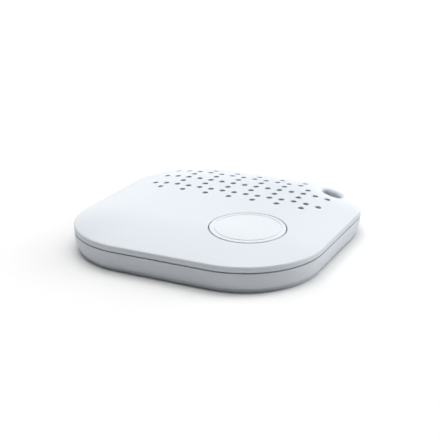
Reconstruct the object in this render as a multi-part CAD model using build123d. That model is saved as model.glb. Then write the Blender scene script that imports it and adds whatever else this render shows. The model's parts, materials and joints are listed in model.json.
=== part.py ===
from build123d import *
from math import hypot, sqrt
import os

# Bluetooth beacon, in millimetres. Origin at the middle of the underside, +Z up, the rows of sound holes
# along +X, the key ring slot in the +X +Y corner and the button towards the +X -Y corner.

# Outline and walls
side_length = 42.0
total_height = 6.2
corner_radius = 13.0
crown_start = 2.0
crown_drop = 1.78
crease_round = 0.3
roof = 0.85
wall = 1.1
floor = 0.8
cavity_round = 0.6

# Parting line, below the top of the crown, and the lower shell's side, which ends above a set-back base
parting_drop = 2.78
lower_inset = 0.4
foot_height = 0.84
foot_round = 0.06
base_inset = 0.4
base_round = 0.1
groove_width = 0.2
groove_depth = 0.45

# Tongue of the lower shell inside the upper shell, with its snap bead
tongue_thickness = 0.55
tongue_height = 0.32
tongue_root = 0.5
tongue_gap = 0.05
bead_height = 0.1
bead_gap = 0.03

# Key ring slot: an oval across the corner, its middle that far inside the corner's arc
slot_inset = 4.07
slot_length = 5.1
slot_width = 2.64
slot_wall = 1.8
slot_round = 0.8
slot_under_round = 0.3
boss_gap = 0.15

# Sound holes: the columns that have a hole, for each row counted away from the front row
hole_pitch = 2.177
hole_diameter = 1.03
last_row_inset = 4.89
hole_columns = [
    range(1, 14, 2),
    range(0, 15),
    range(2, 13, 2),
    range(0, 15),
    range(2, 13, 2),
    range(0, 12),
    range(3, 12, 2),
]

# Button: its middle lies a little outside the centre of the corner's arc
button_past_x = 0.86
button_past_y = 0.63
button_opening = 12.28
button_gap = 0.19
button_plate = 0.9
button_ring_diameter = 10.5
button_ring_width = 0.17
button_ring_depth = 0.08
button_pocket = 10.2
button_post = 2.6
button_travel = 0.25
flange_width = 0.6
flange_gap = 0.06
flange_thickness = 0.5

# Coin cell, which lies round the centre of the -X -Y corner's arc and fills the height under the roof
cell_diameter = 20.0
cell_headroom = 0.1963
can_thickness = 0.25
can_round = 0.35
crimp_lift = 0.35
crimp_slope = 0.4
crimp_reach = 0.6
gasket_width = 1.05
gasket_lip = 0.3
cap_slope = 0.45
cap_rise = 2.0
pellet_gap = 0.65
pellet_thickness = 1.35
separator_thickness = 0.1
seat_gap = 0.2
seat_rib = 0.7
seat_rib_height = 1.5
hold_rib_diameter = 11.0
hold_rib = 0.8
hold_gap = 0.05

# Contacts of the cell
contact_thickness = 0.15
contact_bend = 0.4
leaf_lift = 0.05
leaf_width = 3.0
leaf_notch_gap = 0.3
leaf_past_middle = 2.0
leaf_slope_run = 1.0
leaf_pad = 2.2
clip_width = 4.0
clip_gap = 0.02
clip_below_top = 0.4
clip_pad = 3.6

# Board below the top of the crown, on posts whose pins pass through it and end in flat heads
board_drop = 4.3
board_thickness = 0.8
board_edge_gap = 0.25
board_cell_gap = 1.2
board_arm_end = 6.7
post_radius = 1.1
pin_radius = 0.55
pin_gap = 0.07
pin_head_radius = 0.95
pin_head_height = 0.25
post_edge_inset = 3.9
post_corner_inset = 6.2
left_post_inset = 8.4
post_past_chip = 0.6
post_past_buzzer = 7.1

# Sounder under its foam ring and mesh
mesh_thickness = 0.1
mesh_margin = 1.3
buzzer_x = -1.5
buzzer_inset = 12.6
buzzer_diameter = 15.0
plate_thickness = 0.2
ceramic_diameter = 10.5
ceramic_thickness = 0.18
foam_width = 0.9
foam_least = 0.43
spring_width = 1.2
spring_bend = 0.3
bends_per_rise = 3.5
spring_pad = 1.9
spring_arm = 1.2
spring_lean = 0.4

# Tactile switch
switch_size = 4.2
switch_height = 1.65
switch_base_height = 0.9
switch_floor = 0.25
switch_well = 3.1
frame_thickness = 0.15
frame_tab_width = 2.5
frame_tab_drop = 0.7
stem_diameter = 2.2
stem_disc_diameter = 2.8
stem_disc = 0.28
stem_gap = 0.04
dome_left = 0.08
dome_thickness = 0.07
terminal_length = 0.8
terminal_width = 0.6
terminal_place = 1.4

# Sizes of the parts on the board
chip_size = (5.0, 5.0, 0.85)
chip_edge = 0.1
main_crystal_size = (2.0, 1.6, 0.5)
clock_crystal_size = (3.2, 1.5, 0.8)
lid_margin = 0.15
lid_height = 0.25
antenna_size = (3.2, 1.6, 1.1)
coil_size = (3.0, 3.0, 1.2)
coil_round = 0.5
coil_well_depth = 0.3
coil_well_width = 0.35
transistor_size = (2.9, 1.3, 1.0)
transistor_span = 2.4
transistor_lift = 0.1
transistor_edge = 0.15
leg_width = 0.4
leg_pitch = 0.95
bulk_size = (3.2, 1.6, 1.2)
capacitor_size = (1.0, 0.5, 0.5)
resistor_size = (1.0, 0.5, 0.35)
cap_end_length = 0.25
cap_end_proud = 0.03
part_pitch = 1.25
part_row_gap = 0.95

# Places of those parts: in from the side walls, past the button's middle or past each other
chip_inset = 10.4
chip_past_button = 9.7
main_crystal_inset = 5.8
main_crystal_past_chip = 3.3
clock_crystal_inset = 5.6
clock_crystal_before_chip = 2.9
antenna_inset = 9.4
antenna_far_inset = 4.6
coil_inset = 7.4
coil_far_inset = 12.6
transistor_inset = 6.4
transistor_before_coil = 4.2
bulk_before_button = 4.4
bulk_past_button = 7.8

half_side = side_length / 2
flat = half_side - corner_radius
crown_run = corner_radius - crown_start
crown_arc = (crown_run**2 + crown_drop**2) / (2 * crown_drop)


def crown_fall(distance, depth=0.0):
    """How far a surface at a depth under the crown falls, by its distance from the corner's centre."""
    run = max(distance - crown_start, 0.0)
    return crown_arc - sqrt((crown_arc - depth) ** 2 - run**2)


parting_height = total_height - parting_drop
cell_radius = cell_diameter / 2
cell_low = floor + leaf_lift + contact_thickness
cell_top = total_height - crown_fall(cell_radius, roof) - cell_headroom
cell_height = cell_top - cell_low
cell_x = -flat
cell_y = -flat
seat_radius = cell_radius + seat_gap
cut_out_radius = cell_radius + board_cell_gap
can_inner = cell_radius - can_thickness
can_low = cell_low + crimp_lift
cap_rim = can_inner - gasket_width
pellet_radius = cap_rim - can_thickness - pellet_gap
pellet_low = cell_top - can_thickness - pellet_thickness

cover_reach = corner_radius - wall
tongue_out = cover_reach - tongue_gap
tongue_in = tongue_out - tongue_thickness
slot_place = flat + (corner_radius - slot_inset) / sqrt(2)
first_row = half_side - last_row_inset - (len(hole_columns) - 1) * hole_pitch
middle_column = (len(hole_columns[1]) - 1) / 2

button_x = flat + button_past_x
button_y = -flat - button_past_y
button_radius = button_opening / 2 - button_gap
flange_radius = button_opening / 2 + flange_width

board_low = total_height - board_drop
board_top = board_low + board_thickness
stem_top = board_top + switch_height
dome_rise = button_travel + dome_left
dome_apex = board_top + switch_floor + dome_rise

buzzer_y = half_side - buzzer_inset
buzzer_radius = buzzer_diameter / 2
plate_top = total_height - crown_fall(buzzer_y + buzzer_radius - flat, roof + mesh_thickness) - foam_least
plate_low = plate_top - plate_thickness
ceramic_low = plate_low - ceramic_thickness

chip_place = (half_side - chip_inset, button_y + chip_past_button)
main_crystal_place = (half_side - main_crystal_inset, chip_place[1] + main_crystal_past_chip)
clock_crystal_place = (half_side - clock_crystal_inset, chip_place[1] - clock_crystal_before_chip)
antenna_place = (antenna_inset - half_side, half_side - antenna_far_inset)
coil_place = (coil_inset - half_side, half_side - coil_far_inset)
transistor_place = (transistor_inset - half_side, coil_place[1] - transistor_before_coil)
bulk_place = (button_x - bulk_before_button, button_y + bulk_past_button)
post_places = [
    (half_side - post_corner_inset, post_corner_inset - half_side),
    (half_side - post_edge_inset, chip_place[1] + post_past_chip),
    (post_edge_inset - half_side, half_side - left_post_inset),
    (buzzer_x + post_past_buzzer, half_side - post_edge_inset),
    (bulk_place[0], post_edge_inset - half_side),
]


def around(section):
    """Carry a section, drawn as distance from the corner's centre against height, round the outline."""
    drawn = Plane.XZ * section
    corner = Pos(flat, flat, 0) * revolve(drawn, Axis.Z, revolution_arc=90)
    side = Pos(flat, -flat, 0) * extrude(drawn, 2 * flat, dir=(0, 1, 0))
    return [Rot(0, 0, 90 * turn) * piece for turn in range(4) for piece in (corner, side)]


def ring_around(section):
    return Part() + around(section)


def body_around(section, low, high):
    core = Pos(0, 0, (low + high) / 2) * Box(2 * flat, 2 * flat, high - low)
    return Part() + [core, *around(section)]


def rectangle(left, low, right, high):
    return Pos((left + right) / 2, (low + high) / 2) * Rectangle(right - left, high - low)


def rounded_at(section, x, z, radius):
    corner = section.vertices().sort_by_distance(Vector(x, z))[0]
    return fillet(corner, radius)


def under_crown(depth, reach, low, edge_round=0.0):
    """Everything under the crown's surface at a depth, out to a reach and down to a height."""
    top = total_height - depth
    edge_height = total_height - crown_fall(reach, depth)
    middle = (crown_start + reach) / 2
    middle_height = total_height - crown_fall(middle, depth)
    lines = [
        Polyline((0, top), (0, low), (reach, low), (reach, edge_height)),
        ThreePointArc((reach, edge_height), (middle, middle_height), (crown_start, top)),
        Line((crown_start, top), (0, top)),
    ]
    section = make_face(lines)
    if edge_round:
        section = rounded_at(section, reach, edge_height, edge_round)
    return body_around(section, low, top)


def disc(x, y, radius, low, high):
    return Pos(x, y, (low + high) / 2) * Cylinder(radius, high - low)


def tube(x, y, inner, outer, low, high):
    return disc(x, y, outer, low, high) - disc(x, y, inner, low, high)


def block(x, y, size, low):
    return Pos(x, y, low + size[2] / 2) * Box(*size)


def slot_prism(grow, low, high):
    """The key ring slot's oval, grown by a wall or a gap."""
    oval = Ellipse(slot_length / 2 + grow, slot_width / 2 + grow)
    return Pos(slot_place, slot_place, low) * Rot(0, 0, -45) * extrude(oval, high - low)


def slot_rim(part, rank, radius):
    """Round the slot's edge in a shell's outer face: its lowest edge, or its highest with a rank of -1."""
    rims = ShapeList()
    for edge in part.edges():
        middle = edge.center(CenterOf.MASS)
        if edge.is_closed and hypot(middle.X - slot_place, middle.Y - slot_place) < slot_width / 4:
            rims.append(edge)
    return fillet(rims.sort_by(Axis.Z)[rank], radius)


def groove_ring(low, high):
    return ring_around(rectangle(corner_radius - groove_depth, low, corner_radius + wall, high))


def bead_section(grow):
    """The snap bead's half diamond on the tongue's outer face."""
    middle = parting_height + tongue_height / 2
    half = bead_height + grow
    foot = tongue_out - grow
    points = [(foot, middle - half), (tongue_out + half, middle), (foot, middle + half)]
    return make_face(Polyline(*points, close=True))


def sound_holes():
    holes = []
    for row, columns in enumerate(hole_columns):
        for column in columns:
            x = (column - middle_column) * hole_pitch
            y = first_row + row * hole_pitch
            holes.append(disc(x, y, hole_diameter / 2, parting_height, total_height + roof))
    return holes


def top_cover():
    shell = under_crown(0, corner_radius, parting_height, crease_round)
    cavity = under_crown(roof, cover_reach, parting_height - wall)
    cavity -= slot_prism(slot_wall, parting_height - wall, total_height)
    hold_outer = hold_rib_diameter / 2
    cavity -= tube(cell_x, cell_y, hold_outer - hold_rib, hold_outer, cell_top + hold_gap, total_height)
    shell -= cavity
    shell -= ring_around(bead_section(bead_gap))
    shell -= groove_ring(parting_height, parting_height + groove_width / 2)
    shell = slot_rim(shell - slot_prism(0, 0, total_height + roof), -1, slot_round)
    shell -= disc(button_x, button_y, button_opening / 2, parting_height, total_height + roof)
    shell -= sound_holes()
    return shell


def case_envelope():
    """The lower shell's outside: a wall that draws in from the parting line, over a base set back under it."""
    drawn_in = corner_radius - lower_inset
    base = drawn_in - base_inset
    wall_low = (drawn_in, foot_height)
    wall_high = (corner_radius, parting_height)
    lines = [
        Polyline(wall_high, (0, parting_height), (0, 0), (base, 0), (base, foot_height), wall_low),
        TangentArc(wall_high, wall_low, tangent=(0, -1)),
    ]
    section = rounded_at(make_face(lines), *wall_low, foot_round)
    section = rounded_at(section, base, foot_height, base_round)
    section = rounded_at(section, base, 0, base_round)
    return body_around(section, 0, parting_height)


def cell_seat():
    """The rib that keeps the cell from sliding towards the board, open for the leaf."""
    rib = tube(cell_x, cell_y, seat_radius, seat_radius + seat_rib, 0, floor + seat_rib_height)
    side = 2 * cell_diameter
    rib -= Pos(cell_x, cell_y, 0) * Rot(0, 0, 45) * Pos(-side / 2, 0, 0) * Box(side, side, side)
    notch = (cell_diameter, leaf_width + 2 * leaf_notch_gap, 2 * cell_height)
    rib -= block(cell_x + seat_radius, cell_y, notch, floor)
    return rib


def bottom_case():
    open_top = parting_height + wall
    hollow = rounded_at(rectangle(0, floor, tongue_in, open_top), tongue_in, floor, cavity_round)
    cavity = body_around(hollow, floor, open_top)
    cavity -= slot_prism(slot_wall, 0, parting_height)
    cavity -= cell_seat()
    cavity -= [disc(x, y, post_radius, 0, board_low) for x, y in post_places]
    shell = case_envelope() - cavity
    tongue_top = parting_height + tongue_height
    tongue = ring_around(rectangle(tongue_in, parting_height - tongue_root, tongue_out, tongue_top))
    tongue += ring_around(bead_section(0))
    tongue -= slot_prism(slot_wall + boss_gap, parting_height, total_height)
    shell += tongue
    shell = slot_rim(shell - slot_prism(0, -floor, total_height), 0, slot_under_round)
    shell -= groove_ring(parting_height - groove_width / 2, open_top)
    for x, y in post_places:
        shell += disc(x, y, pin_radius, board_low, board_top + pin_head_height)
        shell += disc(x, y, pin_head_radius, board_top, board_top + pin_head_height)
    return shell


def in_button(solid, radius):
    return solid & disc(button_x, button_y, radius, 0, total_height + roof)


def button_cap():
    """The button's cap, whose face continues the crown, with a flange that the roof holds."""
    far_edge = hypot(button_x - flat, button_y + flat) + flange_radius
    flange_low = total_height - crown_fall(far_edge, roof + flange_gap) - flange_thickness
    cap = in_button(under_crown(0, cover_reach, flange_low), button_radius)
    cap += in_button(under_crown(roof + flange_gap, cover_reach, flange_low), flange_radius)
    cap -= in_button(under_crown(button_plate, cover_reach, flange_low - wall), button_pocket / 2)
    skin = under_crown(0, cover_reach, parting_height)
    skin -= under_crown(button_ring_depth, cover_reach, parting_height)
    ring_outer = (button_ring_diameter + button_ring_width) / 2
    cap -= skin & tube(button_x, button_y, ring_outer - button_ring_width, ring_outer, 0, 2 * total_height)
    cap += disc(button_x, button_y, button_post / 2, stem_top, total_height - button_plate)
    return cap


def dust_mesh():
    """The mesh that is glued under the sound holes and follows the roof's underside."""
    layer = under_crown(roof, tongue_out, parting_height)
    layer -= under_crown(roof + mesh_thickness, tongue_out, parting_height)
    columns = 2 * middle_column * hole_pitch + 2 * mesh_margin
    rows = (len(hole_columns) - 1) * hole_pitch + 2 * mesh_margin
    patch = layer & block(0, first_row - mesh_margin + rows / 2, (columns, rows, total_height), 0)
    return patch - slot_prism(slot_wall + boss_gap, 0, total_height)


def main_board():
    board = body_around(rectangle(0, board_low, tongue_in - board_edge_gap, board_top), board_low, board_top)
    board -= disc(cell_x, cell_y, cut_out_radius, 0, total_height)
    for x, y in ((0, board_arm_end), (board_arm_end, 0)):
        clear = (side_length, side_length, total_height)
        board -= block(cell_x + x - half_side, cell_y + y - half_side, clear, 0)
    board -= slot_prism(slot_wall + boss_gap, 0, total_height)
    board -= [disc(x, y, pin_radius + pin_gap, 0, total_height) for x, y in post_places]
    return board


def spun_cell(section):
    return Pos(cell_x, cell_y, 0) * revolve(Plane.XZ * section, Axis.Z)


def cell_can():
    points = [
        (0, cell_top),
        (cell_radius, cell_top),
        (cell_radius, can_low + crimp_slope),
        (cell_radius - crimp_reach, can_low),
        (cell_radius - crimp_reach, can_low + can_thickness),
        (can_inner, can_low + crimp_slope + can_thickness),
        (can_inner, cell_top - can_thickness),
        (0, cell_top - can_thickness),
    ]
    section = make_face(Polyline(*points, close=True))
    return spun_cell(rounded_at(section, cell_radius, cell_top, can_round))


def cell_cap():
    inner = cap_rim - can_thickness
    points = [
        (0, cell_low),
        (cap_rim - cap_slope, cell_low),
        (cap_rim, cell_low + cap_slope),
        (cap_rim, cell_low + cap_rise),
        (inner, cell_low + cap_rise),
        (inner, cell_low + can_thickness + cap_slope),
        (inner - cap_slope, cell_low + can_thickness),
        (0, cell_low + can_thickness),
    ]
    return spun_cell(make_face(Polyline(*points, close=True)))


def cell_gasket():
    high = cell_top - can_thickness
    inner = cap_rim - can_thickness - gasket_lip
    points = [
        (cap_rim, can_low + can_thickness),
        (cell_radius - crimp_reach, can_low + can_thickness),
        (can_inner, can_low + crimp_slope + can_thickness),
        (can_inner, high),
        (inner, high),
        (inner, cell_low + cap_rise),
        (cap_rim, cell_low + cap_rise),
    ]
    return spun_cell(make_face(Polyline(*points, close=True)))


def cell_cathode():
    return disc(cell_x, cell_y, pellet_radius, pellet_low, cell_top - can_thickness)


def cell_separator():
    return disc(cell_x, cell_y, pellet_radius, pellet_low - separator_thickness, pellet_low)


def cell_anode():
    return disc(cell_x, cell_y, pellet_radius, cell_low + can_thickness, pellet_low - separator_thickness)


def bent_strip(points, width, bend):
    """A strip of spring metal that follows points in the XZ plane, centred on Y."""
    path = FilletPolyline(*points, radius=bend)
    section = Plane.XZ * trace(path, contact_thickness)
    return extrude(section, width / 2, both=True)


def negative_contact():
    """The leaf that is soldered under the board and reaches past the middle of the cell's cap."""
    on_board = board_low - contact_thickness / 2
    under_cell = cell_low - contact_thickness / 2
    rise_start = seat_radius + seat_rib
    rise_end = rise_start + leaf_slope_run
    points = [(-leaf_past_middle, under_cell), (rise_start, under_cell), (rise_end, on_board),
              (rise_end + leaf_pad, on_board)]
    return Pos(cell_x, cell_y, 0) * bent_strip(points, leaf_width, contact_bend)


def positive_contact():
    """The clip that stands on the board and presses on the side of the cell's can."""
    on_board = board_top + contact_thickness / 2
    touch = cell_radius + clip_gap + contact_thickness / 2
    points = [(touch, cell_top - clip_below_top), (touch, on_board), (touch + clip_pad, on_board)]
    return Pos(cell_x, cell_y, 0) * Rot(0, 0, 90) * bent_strip(points, clip_width, contact_bend)


def buzzer_ring():
    """The foam ring that holds the sounder off the mesh, cut to the roof's slope."""
    ring = tube(buzzer_x, buzzer_y, buzzer_radius - foam_width, buzzer_radius, plate_top, total_height)
    return ring & under_crown(roof + mesh_thickness, cover_reach, parting_height)


def buzzer_plate():
    return disc(buzzer_x, buzzer_y, buzzer_radius, plate_low, plate_top)


def buzzer_ceramic():
    return disc(buzzer_x, buzzer_y, ceramic_diameter / 2, ceramic_low, plate_low)


def buzzer_spring(y, touched):
    """A leaf that stands on the board and touches the sounder's underside at a height."""
    on_board = board_top + contact_thickness / 2
    tip = touched - contact_thickness / 2
    bend_x = -spring_pad / 2
    lean_x = bend_x + spring_lean
    points = [(spring_pad / 2, on_board), (bend_x, on_board), (lean_x, tip), (lean_x + spring_arm, tip)]
    bend = min(spring_bend, (tip - on_board) / bends_per_rise)
    return Pos(buzzer_x, y, 0) * bent_strip(points, spring_width, bend)


def buzzer_springs():
    plate_edge = (buzzer_diameter + ceramic_diameter) / 4
    return [buzzer_spring(buzzer_y, ceramic_low), buzzer_spring(buzzer_y + plate_edge, plate_low)]


def switch_base():
    base = block(button_x, button_y, (switch_size, switch_size, switch_base_height), board_top)
    return base - disc(button_x, button_y, switch_well / 2, board_top + switch_floor, total_height)


def switch_frame():
    """The sheet cover that clips over two sides of the switch's base."""
    low = board_top + switch_base_height
    top = block(button_x, button_y, (switch_size, switch_size + 2 * frame_thickness, frame_thickness), low)
    reach = (switch_size + frame_thickness) / 2
    tab = (frame_tab_width, frame_thickness, frame_tab_drop)
    for sign in (-1, 1):
        top += block(button_x, button_y + sign * reach, tab, low - frame_tab_drop)
    return top - disc(button_x, button_y, stem_diameter / 2 + stem_gap, 0, total_height)


def switch_stem():
    stem = disc(button_x, button_y, stem_disc_diameter / 2, dome_apex, dome_apex + stem_disc)
    return stem + disc(button_x, button_y, stem_diameter / 2, dome_apex, stem_top)


def switch_dome():
    """The snap dome: a thin bowl of spring steel, upside down on the floor of the switch's well."""
    radius = stem_disc_diameter / 2
    bow = (radius**2 + dome_rise**2) / (2 * dome_rise)
    centre = Pos(button_x, button_y, dome_apex - bow)
    bowl = centre * Sphere(bow) - centre * Sphere(bow - dome_thickness)
    return bowl & disc(button_x, button_y, switch_well / 2, board_top + switch_floor, total_height)


def switch_terminals():
    size = (terminal_length, terminal_width, contact_thickness)
    reach = (switch_size + terminal_length) / 2
    places = [(x, y) for x in (-reach, reach) for y in (-terminal_place, terminal_place)]
    return [block(button_x + x, button_y + y, size, board_top) for x, y in places]


def moulded_block(place, size, edge, lift=0.0):
    """A moulded package with its top edges broken."""
    solid = block(*place, (size[0], size[1], size[2] - lift), board_top + lift)
    return chamfer(solid.faces().sort_by(Axis.Z)[-1].edges(), edge)


def radio_chip():
    return moulded_block(chip_place, chip_size, chip_edge)


def lidded_block(place, size):
    """A crystal: a ceramic base under a narrower metal lid."""
    base = (size[0], size[1], size[2] - lid_height)
    lid = (size[0] - 2 * lid_margin, size[1] - 2 * lid_margin, lid_height)
    return block(*place, base, board_top) + block(*place, lid, board_top + base[2])


def main_crystal():
    return lidded_block(main_crystal_place, main_crystal_size)


def clock_crystal():
    return lidded_block(clock_crystal_place, clock_crystal_size)


def drive_coil():
    coil = block(*coil_place, coil_size, board_top)
    coil = fillet(coil.edges().filter_by(Axis.Z), coil_round)
    core = coil_size[0] / 2 - coil_round
    well_floor = board_top + coil_size[2] - coil_well_depth
    return coil - tube(*coil_place, core - coil_well_width, core, well_floor, total_height)


def drive_transistor():
    """A small transistor: a moulded body on three flat legs."""
    x, y = transistor_place
    body = moulded_block(transistor_place, transistor_size, transistor_edge, transistor_lift)
    under_body = contact_thickness
    leg_length = (transistor_span - transistor_size[1]) / 2 + under_body
    reach = (transistor_span - leg_length) / 2
    for column, side in ((-leg_pitch, -1), (leg_pitch, -1), (0, 1)):
        body += block(x + column, y + side * reach, (leg_width, leg_length, contact_thickness), board_top)
    return body


def capped_part(place, size):
    """A chip capacitor or resistor, whose metal ends stand a little proud of its middle."""
    x, y = place
    middle = block(x, y, (size[0], size[1] - 2 * cap_end_proud, size[2] - cap_end_proud), board_top)
    shift = (size[0] - cap_end_length) / 2
    end = (cap_end_length, size[1], size[2])
    return middle + block(x - shift, y, end, board_top) + block(x + shift, y, end, board_top)


def chip_antenna():
    return capped_part(antenna_place, antenna_size)


def bulk_capacitor():
    return capped_part(bulk_place, bulk_size)


def small_capacitors():
    """Two rows of four, before and behind the radio chip."""
    row = chip_size[1] / 2 + part_row_gap
    columns = [(i - 1.5) * part_pitch for i in range(4)]
    places = [(chip_place[0] + x, chip_place[1] + y) for y in (-row, row) for x in columns]
    return [capped_part(place, capacitor_size) for place in places]


def small_resistors():
    """Three beside the coil and three beside the radio chip."""
    rows = [(i - 1) * part_pitch for i in range(3)]
    by_coil = coil_place[0] - coil_size[0] / 2 - 1.5 * part_row_gap
    by_chip = chip_place[0] - chip_size[0] / 2 - part_row_gap
    places = [(by_coil, coil_place[1] + y) for y in rows] + [(by_chip, chip_place[1] + y) for y in rows]
    return [capped_part(place, resistor_size) for place in places]


def write(make):
    """Write one sub-part, or a group of like ones, to the file that bears its function's name."""
    name = make.__name__
    made = make()
    solids = [solid for piece in (made if isinstance(made, list) else [made]) for solid in piece.solids()]
    whole = solids[0] if len(solids) == 1 else Compound(solids)
    whole.label = name
    export_step(whole, f"parts/{name}.step")
    print(name, len(solids), round(sum(solid.volume for solid in solids), 2))


sub_parts = [
    top_cover,
    bottom_case,
    button_cap,
    dust_mesh,
    main_board,
    cell_can,
    cell_cap,
    cell_gasket,
    cell_cathode,
    cell_separator,
    cell_anode,
    negative_contact,
    positive_contact,
    buzzer_ring,
    buzzer_plate,
    buzzer_ceramic,
    buzzer_springs,
    switch_base,
    switch_frame,
    switch_stem,
    switch_dome,
    switch_terminals,
    radio_chip,
    main_crystal,
    clock_crystal,
    chip_antenna,
    drive_coil,
    drive_transistor,
    bulk_capacitor,
    small_capacitors,
    small_resistors,
]

os.makedirs("parts", exist_ok=True)
for sub_part in sub_parts:
    write(sub_part)
print("cell height", round(cell_height, 4), "sounder's top", round(plate_top, 4))
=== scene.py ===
import json
from math import atan2, cos, pi, radians, sin, sqrt

import bmesh
import bpy
from mathutils import Matrix, Vector


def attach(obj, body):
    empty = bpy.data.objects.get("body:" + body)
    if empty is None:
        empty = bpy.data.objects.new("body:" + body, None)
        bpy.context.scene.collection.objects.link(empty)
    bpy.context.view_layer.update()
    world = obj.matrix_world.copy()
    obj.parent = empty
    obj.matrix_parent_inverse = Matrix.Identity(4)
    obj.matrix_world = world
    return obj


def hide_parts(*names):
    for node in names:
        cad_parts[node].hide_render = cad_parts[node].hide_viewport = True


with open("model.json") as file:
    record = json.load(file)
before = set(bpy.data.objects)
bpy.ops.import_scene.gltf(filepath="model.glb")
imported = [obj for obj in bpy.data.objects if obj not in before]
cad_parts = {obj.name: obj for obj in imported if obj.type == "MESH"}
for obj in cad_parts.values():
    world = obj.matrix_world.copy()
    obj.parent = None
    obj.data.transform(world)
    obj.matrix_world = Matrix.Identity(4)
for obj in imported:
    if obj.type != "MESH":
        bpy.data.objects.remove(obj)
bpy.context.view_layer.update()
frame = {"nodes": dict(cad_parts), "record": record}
nodes = frame["nodes"]
print("frame loaded:", len(nodes), "parts")

mm = 0.001  # the frame is in metres

# Camera, fitted to the photo by the lattice of sound holes, the button and the parting line
camera = {
    "place": (68.74 * mm, -140.929 * mm, 61.239 * mm),
    "forward": (-0.41081, 0.84224, -0.34909),
    "roll": radians(-0.2218),
    "lens": 82.21,
    "sensor": 36.0,
    "shift": 0.5 / 440,  # half a pixel of the picture
    "nearest": 1 * mm,
    "farthest": 20.0,
}

# Soft light from above and behind, none from the front: direction, height and power of each softbox
lights = [
    {"name": "overheadSoftbox", "azimuth": 90, "height": 90, "size": (1.6, 1.6), "power": 38.1},
    {"name": "backLeftSoftbox", "azimuth": 135, "height": 50, "size": (1.2, 1.2), "power": 6.4},
    {"name": "backRightSoftbox", "azimuth": 45, "height": 50, "size": (1.2, 1.2), "power": 12.4},
    {"name": "leftSoftbox", "azimuth": 180, "height": 45, "size": (1.2, 1.2), "power": 6.0},
    {"name": "rightSoftbox", "azimuth": 0, "height": 45, "size": (1.2, 1.2), "power": 0.9},
    {"name": "lowRightSoftbox", "azimuth": 40, "height": 20, "size": (0.8, 0.8), "power": 13.9},
    {"name": "backCard", "azimuth": 90, "height": 9, "size": (1.2, 0.5), "power": 6.3},
    {"name": "backLeftCard", "azimuth": 130, "height": 9, "size": (1.2, 0.5), "power": 4.0},
]
lightDistance = 2.0


def makeCamera(values):
    data = bpy.data.cameras.new("photoCamera")
    data.lens = values["lens"]
    data.sensor_width = values["sensor"]
    data.shift_x = -values["shift"]
    data.shift_y = values["shift"]
    data.clip_start = values["nearest"]
    data.clip_end = values["farthest"]
    obj = bpy.data.objects.new("photoCamera", data)
    turn = Vector(values["forward"]).to_track_quat("-Z", "Y").to_matrix().to_4x4()
    obj.matrix_world = Matrix.Translation(values["place"]) @ turn @ Matrix.Rotation(values["roll"], 4, "Z")
    bpy.context.scene.collection.objects.link(obj)
    bpy.context.scene.camera = obj


def makeLight(values):
    data = bpy.data.lights.new(values["name"], "AREA")
    data.shape = "RECTANGLE"
    data.size, data.size_y = values["size"]
    data.energy = values["power"]
    azimuth = radians(values["azimuth"])
    height = radians(values["height"])
    away = Vector((cos(height) * cos(azimuth), cos(height) * sin(azimuth), sin(height)))
    obj = bpy.data.objects.new(values["name"], data)
    turn = away.to_track_quat("Z", "Y").to_matrix().to_4x4()
    obj.matrix_world = Matrix.Translation(away * lightDistance) @ turn
    bpy.context.scene.collection.objects.link(obj)


makeCamera(camera)
for light in lights:
    makeLight(light)
print("camera and", len(lights), "softboxes placed")


# Node helpers, for materials and geometry alike
def put(tree, kind, inputs=(), **settings):
    node = tree.nodes.new(kind)
    for name, value in settings.items():
        setattr(node, name, value)
    for socket, value in dict(inputs).items():
        if isinstance(value, bpy.types.NodeSocket):
            tree.links.new(value, node.inputs[socket])
        else:
            node.inputs[socket].default_value = value
    return node


def calc(tree, operation, *values):
    return put(tree, "ShaderNodeMath", enumerate(values), operation=operation).outputs[0]


def newMaterial(name):
    material = bpy.data.materials.new(name)
    material.use_nodes = True
    tree = material.node_tree
    return material, tree, tree.nodes["Principled BSDF"]


def objectCoordinates(tree):
    return put(tree, "ShaderNodeTexCoord").outputs["Object"]


def noise(tree, place, scale, detail=2.0):
    inputs = {"Vector": place, "Scale": scale, "Detail": detail}
    return put(tree, "ShaderNodeTexNoise", inputs).outputs["Fac"]


def remap(tree, value, low, high):
    inputs = {"Value": value, "To Min": low, "To Max": high}
    return put(tree, "ShaderNodeMapRange", inputs).outputs["Result"]


def mixColours(tree, value, first, second):
    inputs = {0: value, 6: (*first, 1), 7: (*second, 1)}
    return put(tree, "ShaderNodeMix", inputs, data_type="RGBA").outputs[2]


def bump(tree, value, strength, depth):
    inputs = {"Height": value, "Strength": strength, "Distance": depth}
    return put(tree, "ShaderNodeBump", inputs).outputs["Normal"]


def shade(colour, factor):
    return tuple(min(channel * factor, 1.0) for channel in colour)


def dress(tree, shader, colour, roughness, normal):
    tree.links.new(colour, shader.inputs["Base Color"])
    tree.links.new(roughness, shader.inputs["Roughness"])
    tree.links.new(normal, shader.inputs["Normal"])


def mouldedPlastic(name, colour, roughness=0.5, grain=2600.0, depth=0.004 * mm):
    material, tree, shader = newMaterial(name)
    place = objectCoordinates(tree)
    cloud = noise(tree, place, scale=45.0)
    fine = noise(tree, place, grain, detail=3.0)
    tint = mixColours(tree, cloud, shade(colour, 0.985), colour)
    satin = remap(tree, fine, roughness - 0.05, roughness + 0.05)
    dress(tree, shader, tint, satin, bump(tree, fine, 0.5, depth))
    shader.inputs["IOR"].default_value = 1.49
    return material


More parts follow.
